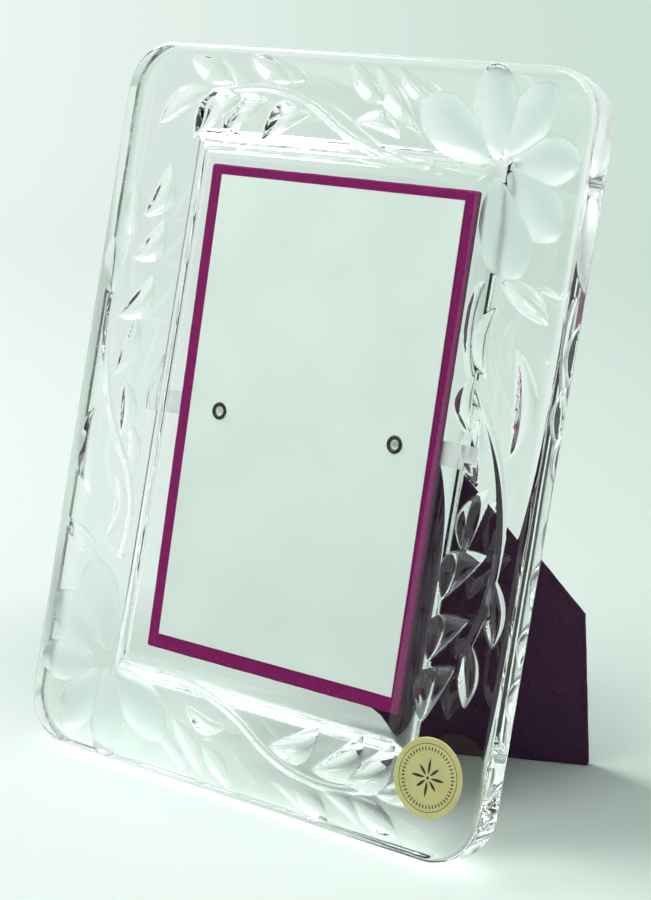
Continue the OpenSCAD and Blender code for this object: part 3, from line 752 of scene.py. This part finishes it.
def crystal_slab():
    """The slab as one closed skin, with the pocket joined to its back at the mouth."""
    gx, gz, px, pz = front_grid(GRID)
    skin = Skin()
    index = add_front(skin, gx, gz, px, pz)
    outline = add_rim(skin, index, px, pz)
    pocket, mouth = pocket_mesh()
    add_back(skin, outline, mouth)
    shell = bpy.data.meshes.new("shell")
    shell.from_pydata(skin.verts.tolist(), [], skin.faces)
    shell.polygons.foreach_set("material_index", skin.mats)
    shell.polygons.foreach_set("use_smooth", skin.smooth)
    bm = bmesh.new()
    bm.from_mesh(shell)
    bm.from_mesh(pocket)
    # The pocket's mesh is in metres and the shell's in mm. The pocket's cover at the mouth goes.
    covers = [f for f in bm.faces[len(skin.faces):]
              if all(abs(v.co.y - SLAB_T * MM) < 1e-8 for v in f.verts)]
    bm.verts.ensure_lookup_table()
    for v in bm.verts[len(skin.verts):]:
        v.co = v.co / MM
    bmesh.ops.delete(bm, geom=covers, context="FACES_ONLY")
    at_back = [v for v in bm.verts if abs(v.co.y - SLAB_T) < 1e-4]
    bmesh.ops.remove_doubles(bm, verts=at_back, dist=1e-3)
    bmesh.ops.recalc_face_normals(bm, faces=bm.faces)
    for v in bm.verts:
        v.co = IN_SLAB @ (v.co * MM)
    mesh = bpy.data.meshes.new("crystal_slab")
    bm.to_mesh(mesh)
    bm.free()
    mesh.materials.append(CLEAR)
    mesh.materials.append(FROST)
    obj = bpy.data.objects.new("crystal_slab", mesh)
    bpy.context.scene.collection.objects.link(obj)
    stands_for(obj, "crystal_frame", "frame")


crystal_slab()

# Board, leg and metal parts
dress("liner_paper", LINER)
dress("board_core", CARD)
dress("leg_core", CARD)
dress("clip_left", SPRING, 0.12)
dress("clip_right", SPRING, 0.12)
dress("hinge_fixed_leaf", STEEL, 0.08, 2)
dress("hinge_moving_leaf", STEEL, 0.08, 2)
dress("hinge_pin", NICKEL, 0.1, 2)
dress("board_rivets", NICKEL, 0.15)
dress("leg_rivets", NICKEL, 0.15)


def rivet_tools(across, low, high, place):
    """Tools for the holes of one hinge leaf's rivets."""
    radius = RIVET_R + HOLE_PLAY
    return [round_tool(share * HINGE_LEN, across, radius, low, high, place) for share in RIVETS_ALONG]


def board_cover():
    """Velvet over the board's back and edges, lapped onto its front as a border."""
    # The back and the back half of the edges wear the velvet with painted shade
    mats = [VELVET_FRONT, VELVET_SHADED]
    obj = soft_plate("board_cover", rect(BOARD_W, BOARD_H), 0.0, BOARD_T, IN_BOARD, mats)
    core = rect(BOARD_W - 2 * VELVET_T, BOARD_H - 2 * VELVET_T)
    window = rect(LINER_W - 2 * BORDER_LAP, LINER_H - 2 * BORDER_LAP, LINER_RISE)
    tools = [block(core, VELVET_T, BOARD_T - VELVET_T, IN_BOARD),
             block(window, -1.0, VELVET_T + 0.01, IN_BOARD)]
    for side in (-1, 1):
        x, radius = side * EYELET_X, BARREL_R + HOLE_PLAY
        tools.append(round_tool(x, EYELET_Z, radius, VELVET_T, BOARD_T + 1, IN_BOARD))
    tools += rivet_tools(RIVET_ACROSS, VELVET_T - HINGE_PLACE[1], 0.0, IN_HINGE)
    join(obj, tools, "DIFFERENCE", 40)
    stands_for(obj, "board_velvet", "frame")


def foot_corner(side, rise):
    """Outer end of one of the leg's two foot edges, which meet at its tip."""
    a = math.radians(rise)
    return side * FOOT_LEN * math.cos(a), FOOT_LEN * math.sin(a) - LEG_LEN


def leg_cover():
    """Velvet glued round the leg's card, with a hem along its edge."""
    corners = [(-ROOT_W / 2, -ROOT_GAP), foot_corner(-1, FOOT_RISE), (0, -LEG_LEN),
               foot_corner(1, FOOT_RISE + SIDE_CUT), (ROOT_W / 2, -ROOT_GAP)]
    # The leg wears the velvet with painted shade
    obj = soft_plate("leg_cover", corners, LEG_FRONT, LEG_BACK, IN_LEG, [VELVET_SHADED], HEM_DEPTH)
    tools = [block(inset(corners, VELVET_T), LEG_FRONT + VELVET_T, LEG_BACK - VELVET_T, IN_LEG)]
    tools += rivet_tools(-RIVET_ACROSS, 0.0, LEG_BACK + 1, IN_LEG)
    join(obj, tools, "DIFFERENCE", 40)
    stands_for(obj, "leg_velvet", "leg")


def eyelet(side, name, node):
    """A near-black rolled rim round a funnel with a painted highlight, and the rolled end behind the clip."""
    # (radius, depth) points from the rim's inside to the rolled end and back along the barrel
    rim = [(1.50, -0.20), (2.62, -0.20), (2.65, -0.28), (2.60, -0.40), (2.46, -0.50),
           (2.26, -0.55), (2.02, -0.55), (1.78, -0.50), (1.62, -0.40), (1.52, -0.28)]
    funnel = [(1.44, -0.12), (1.36, 0.10), (1.24, 0.45), (1.10, 1.0), (1.0, 1.7),
              (0.95, 2.4), (0.95, 3.34), (1.02, 3.47), (1.20, 3.57)]
    rolled = [(1.45, 3.60), (1.85, 3.60), (2.10, 3.54), (2.26, 3.44), (2.30, 3.32),
              (2.24, 3.22), (2.10, 3.20), (1.50, 3.20), (1.50, -0.20)]
    index = [0] * len(rim) + [1] * len(funnel) + [0] * (len(rolled) - 1)
    place = IN_BOARD @ move(side * EYELET_X, 0, EYELET_Z)
    obj = lathe(name, rim + funnel + rolled, place, [DARK_RIM_METAL, FUNNEL_GLINT], 64, index)
    stands_for(obj, node, "frame")


board_cover()
leg_cover()
eyelet(-1, "eyelet_left_formed", "eyelet_left")
eyelet(1, "eyelet_right_formed", "eyelet_right")

# Foil seal

# Depths of the foil's front, its raised ring and the print, before the slab's face (mm)
FOIL_FACE, RING_FACE, PRINT_FACE, FOIL_BACK = -0.15, -0.165, -0.162, -0.01


def leaf_points(cx, cz, angle, length, width):
    """A pointed leaf's outline from its foot, in the seal's plane."""
    c, s = math.cos(angle), math.sin(angle)
    side = [(k / 10, width * math.sin(math.pi * k / 10) ** 0.8) for k in range(11)]
    points = [(t * length, w) for t, w in side] + [(t * length, -w) for t, w in reversed(side[1:-1])]
    return [(cx + a * c - b * s, cz + a * s + b * c) for a, b in points]


def dot_points(x, z, r):
    turns = [math.pi * k / 8 for k in range(16)]
    return [(x + r * math.cos(a), z + r * math.sin(a)) for a in turns]


def seal():
    """A thin foil disc with a printed ring, a circle of beads and a plain rosette."""
    place = IN_SLAB @ move(SEAL_X, 0, SEAL_Z)
    r = SEAL_R
    disc = [(0.001, FOIL_FACE), (0.40 * r, FOIL_FACE), (0.828 * r, FOIL_FACE), (0.834 * r, RING_FACE),
            (0.852 * r, RING_FACE), (0.858 * r, FOIL_FACE), (r - 0.5, FOIL_FACE), (r - 0.08, -0.145),
            (r, -0.09), (r, FOIL_BACK), (0.001, FOIL_BACK)]
    foil = lathe("seal_disc", disc, place, [FOIL, INK], 128, [0, 0, 0, 1, 0, 0, 0, 0, 0, 0])
    shapes = []
    for k in range(48):
        a = 2 * math.pi * k / 48
        if k % 24 == 0:
            shapes.append(dot_points(0.72 * r * math.cos(a), 0.72 * r * math.sin(a), 0.34))
        else:
            shapes.append(leaf_points(0.66 * r * math.cos(a), 0.66 * r * math.sin(a), a, 0.12 * r, 0.20))
    for k in range(8):
        a = math.pi * k / 4
        shapes.append(leaf_points(0.9 * math.cos(a), 0.9 * math.sin(a), a, 3.6 if k % 2 else 4.6, 0.42))
    shapes.append(dot_points(0, 0, 0.45))
    verts, faces = [], []
    for points in shapes:
        faces.append(list(range(len(verts), len(verts) + len(points))))
        verts += [(x, PRINT_FACE, z) for x, z in points]
    printed = mesh_object("seal_print", verts, faces, place, [INK], False)
    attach(printed, "frame")
    stands_for(foil, "foil_seal", "frame")


seal()

# Stage (metres, degrees)

BACKDROP_TURN = 36.56
PALE_GROUND = (0.80, 0.90, 0.85, 1)


def studio():
    """A pale floor in soft light, with painted shade behind the frame and a wall that glows with painted
    light, which turns into an even lit ground far out to the sides and the front.
    """
    mat, n = material("studio")
    where = n.position()
    split = n.add("SeparateXYZ", Vector=where)
    x, y = split.outputs["X"], split.outputs["Y"]
    across = n.smooth_range(x, -0.42, 0.30)
    # Painted light falloff for the glowing wall: paler on the left, where the key stands, and deeper to the
    # right
    far = n.mix(across, (0.84, 0.93, 0.88), (0.61, 0.755, 0.68))
    near = n.mix(across, (0.78, 0.825, 0.812), (0.76, 0.87, 0.81))
    # The glass throws extra light on the floor behind it, so the floor is painted with shade there, a tone
    # deeper
    turned = n.add("Mapping", Vector=where, Rotation=(0, 0, math.radians(BACKDROP_TURN))).outputs[0]
    painted_shade_spot = n.add("Mapping", Vector=turned, Scale=(5.5, 10.0, 1.0), Location=(0.15, -0.32, 0.0))
    reach = n.add("VectorMath", _operation="LENGTH", Vector=painted_shade_spot.outputs[0]).outputs["Value"]
    near = n.mix(n.smooth_range(reach, 1.0, 0.4), near, (0.61, 0.695, 0.65))
    floor = n.add("BsdfDiffuse", Color=near).outputs[0]
    # Far up the sweep the wall glows with that painted light falloff; far out to the sides and the front the
    # ground is even, as a lit backdrop is
    seen = n.looked_at()
    up = n.math("MULTIPLY", seen, n.smooth_range(y, 0.1, 1.3))
    wall = n.add("Emission", Color=far).outputs[0]
    ahead = n.math("MINIMUM", y, 0.0)
    away = n.math("SQRT", n.math("ADD", n.math("MULTIPLY", x, x), n.math("MULTIPLY", ahead, ahead)))
    out = n.math("MULTIPLY", seen, n.smooth_range(away, 0.5, 1.1))
    even = n.add("Emission", Color=PALE_GROUND).outputs[0]
    n.surface(n.mix_shader(out, n.mix_shader(up, floor, wall), even))
    return mat


def facing(at, aim, axis):
    return (Vector(aim) - Vector(at)).to_track_quat(axis, "Y").to_euler()


def plain_object(name, verts, faces, mat):
    mesh = bpy.data.meshes.new(name)
    mesh.from_pydata(verts, [], faces)
    mesh.materials.append(mat)
    obj = bpy.data.objects.new(name, mesh)
    bpy.context.scene.collection.objects.link(obj)
    return obj


def backdrop():
    """A floor that curves up into a wall, turned so that the wall stands behind the frame."""
    half_w, front, sweep_from, sweep_r, top, steps = 4.0, -3.0, 1.0, 0.9, 4.0, 24
    profile = [(front, 0.0), (sweep_from, 0.0)]
    for k in range(1, steps + 1):
        a = math.pi / 2 * k / steps
        profile.append((sweep_from + sweep_r * math.sin(a), sweep_r - sweep_r * math.cos(a)))
    profile.append((sweep_from + sweep_r, top))
    verts = [(x, y, z) for y, z in profile for x in (-half_w, half_w)]
    faces = [(2 * k, 2 * k + 1, 2 * k + 3, 2 * k + 2) for k in range(len(profile) - 1)]
    obj = plain_object("backdrop", verts, faces, studio())
    obj.data.polygons.foreach_set("use_smooth", [True] * len(faces))
    obj.rotation_euler = (0, 0, math.radians(BACKDROP_TURN))


def black_card(name, at, width, height):
    """A black card beside the camera's view: glass and metal see it, the camera doesn't."""
    mat, n = material(name)
    tone = n.mix(n.noise(n.position(), 400.0, 2.0), (0.010,) * 3, (0.016,) * 3)
    n.surface(n.add("BsdfDiffuse", Color=tone).outputs[0])
    w, h = width / 2, height / 2
    obj = plain_object(name, [(-w, -h, 0), (w, -h, 0), (w, h, 0), (-w, h, 0)], [(0, 1, 2, 3)], mat)
    obj.location = at
    obj.rotation_euler = facing(at, (0, 0, 0.12), "Z")
    obj.visible_camera = obj.visible_diffuse = obj.visible_shadow = False


def lamp(name, at, power):
    light = bpy.data.lights.new(name, "AREA")
    light.shape, light.size, light.size_y = "RECTANGLE", 0.7, 0.7
    light.energy = power
    obj = bpy.data.objects.new(name, light)
    obj.location = at
    obj.rotation_euler = facing(at, (0, 0, 0.1), "-Z")
    bpy.context.scene.collection.objects.link(obj)


def surroundings():
    """A dim world for stray light, which looks pale where the camera sees it."""
    world = bpy.data.worlds.new("studio_world")
    world.use_nodes = True
    n = Nodes(world.node_tree)
    dim = n.add("Background", Color=(0.90, 1.0, 0.95, 1), Strength=0.29).outputs[0]
    pale = n.add("Background", Color=PALE_GROUND, Strength=1.0).outputs[0]
    n.add("OutputWorld", Surface=n.mix_shader(n.looked_at(), dim, pale))
    bpy.context.scene.world = world


backdrop()
lamp("key", (-1.1, -0.15, 1.2), 20)
lamp("fill", (-0.35, -0.95, 1.45), 8)
black_card("side_card", (1.05, -0.15, 0.45), 1.3, 0.9)
black_card("front_card", (-0.75, -1.05, 0.33), 1.3, 0.66)
surroundings()

# Camera: its lens, its axes, and its place from the middle of the slab's front face (metres)
camera = bpy.data.cameras.new("camera")
camera.lens, camera.sensor_width = 84.0, 36.0
camera.clip_start, camera.clip_end = 0.01, 50.0
right = Vector((0.803247, 0.595646, 0.0))
up = Vector((-0.159526, 0.215126, 0.963469))
back = Vector((0.573887, -0.773904, 0.267820))
stand = Vector((0.36196, FACE_Y * MM - 0.47057, FACE_Z * MM + 0.15844))
eye = bpy.data.objects.new("camera", camera)
eye.matrix_world = Matrix([(*row, at) for *row, at in zip(right, up, back, stand)] + [(0, 0, 0, 1)])
bpy.context.scene.collection.objects.link(eye)
bpy.context.scene.camera = eye

scene = bpy.context.scene
scene.view_settings.view_transform = "Standard"
scene.cycles.max_bounces = 24
scene.cycles.transmission_bounces = 20
scene.cycles.transparent_max_bounces = 16
scene.cycles.glossy_bounces = 8
scene.cycles.diffuse_bounces = 4
